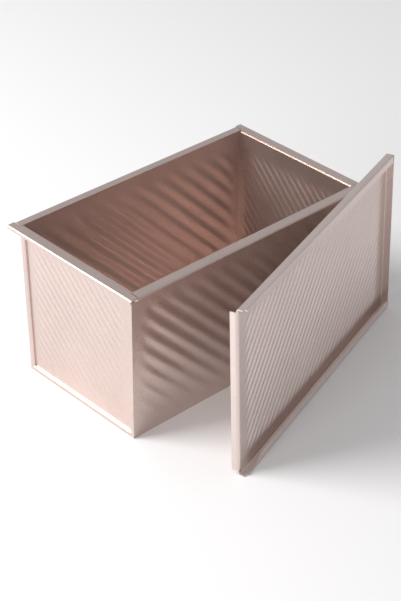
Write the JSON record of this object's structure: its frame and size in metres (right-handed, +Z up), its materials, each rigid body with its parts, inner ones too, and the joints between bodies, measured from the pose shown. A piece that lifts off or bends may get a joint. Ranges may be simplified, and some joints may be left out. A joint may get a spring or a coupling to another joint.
{
  "type": "pullman loaf pan",
  "caption": "Rectangular loaf pan with corrugated coated walls, wired rolled rims and a sliding corrugated lid that leans on its long wall.",
  "frame": {"origin": "centre of the pan's base on the table", "axes": "+Z up, +X along the pan towards its far end, the lid leans on the -Y long wall"},
  "size_m": [0.2466, 0.1923, 0.1247],
  "materials": {
    "coating": "satin champagne non-stick coating",
    "lid_coating": "satin champagne non-stick coating",
    "wire": "drawn steel"
  },
  "bodies": {
    "pan": {"body_sheet": "coating", "near_end_panel": "coating", "far_end_panel": "coating", "near_side_wire": "wire", "far_side_wire": "wire", "near_end_wire": "wire", "far_end_wire": "wire"},
    "lid": {"lid_panel": "lid_coating"}
  },
  "joints": [
    {"name": "lid_lift", "type": "slide", "parent": "pan", "child": "lid", "axis": [0, 0, 1], "range_m": [0, 0.125]}
  ]
}
